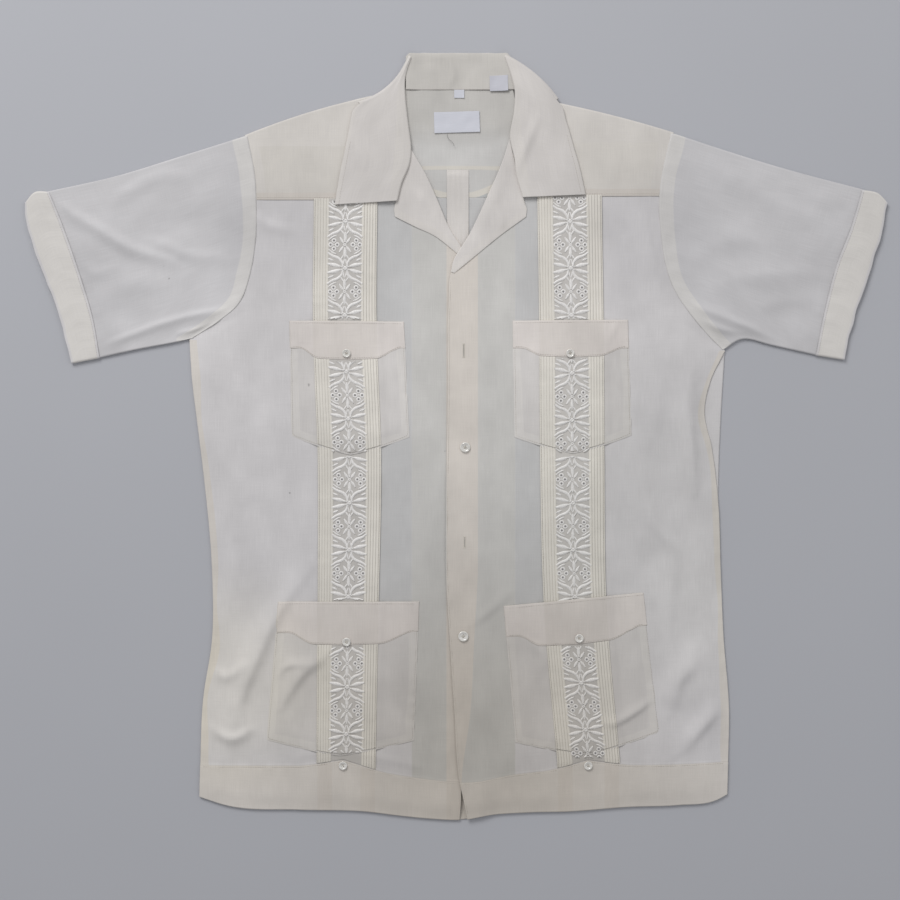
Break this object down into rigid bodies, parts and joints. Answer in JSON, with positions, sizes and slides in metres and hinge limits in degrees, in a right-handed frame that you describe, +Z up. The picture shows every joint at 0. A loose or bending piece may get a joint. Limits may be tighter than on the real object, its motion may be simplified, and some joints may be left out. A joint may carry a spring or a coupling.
{
  "type": "guayabera shirt",
  "caption": "short-sleeved ivory guayabera shirt laid flat, with an open camp collar, flapped pockets, and tucked and embroidered bands down both fronts",
  "frame": {"origin": "on the surface that the shirt lies on, below the middle of its outline", "axes": "+X towards the wearer's left sleeve, +Y from the hem to the collar, +Z up out of the surface, through the shirt's front"},
  "size_m": [0.946, 0.8395, 0.011],
  "materials": {
    "sheer_cloth": "fine plain-woven polyester and cotton, thin enough to show the layers below",
    "doubled_cloth": "the same cloth in two layers, ivory",
    "embroidery_thread": "white rayon satin stitch with a soft shine",
    "pearl_button": "clear pearly polyester resin, polished",
    "woven_label": "blank woven satin ribbon"
  },
  "bodies": {
    "root": {"back": "sheer_cloth", "back_tucks": "doubled_cloth", "back_yoke": "sheer_cloth", "front_right": "sheer_cloth", "front_left": "sheer_cloth", "yoke_right": "doubled_cloth", "yoke_left": "doubled_cloth", "sleeve_right": "sheer_cloth", "sleeve_left": "sheer_cloth", "cuff_right": "doubled_cloth", "cuff_left": "doubled_cloth", "collar": "doubled_cloth", "collar_stand": "doubled_cloth", "lapel_right": "doubled_cloth", "lapel_left": "doubled_cloth", "band_right": "doubled_cloth", "band_left": "doubled_cloth", "pocket_chest_right": "sheer_cloth", "pocket_chest_left": "sheer_cloth", "pocket_hip_right": "sheer_cloth", "pocket_hip_left": "sheer_cloth", "flap_chest_right": "doubled_cloth", "flap_chest_left": "doubled_cloth", "flap_hip_right": "doubled_cloth", "flap_hip_left": "doubled_cloth", "tucks_chest_right": "doubled_cloth", "tucks_chest_left": "doubled_cloth", "tucks_hip_right": "doubled_cloth", "tucks_hip_left": "doubled_cloth", "button_front_upper": "pearl_button", "button_front_lower": "pearl_button", "button_hem_right": "pearl_button", "button_hem_left": "pearl_button", "button_chest_right": "pearl_button", "button_chest_left": "pearl_button", "button_hip_right": "pearl_button", "button_hip_left": "pearl_button", "neck_label": "woven_label", "size_tab": "woven_label", "care_tab": "woven_label"}
  },
  "joints": []
}
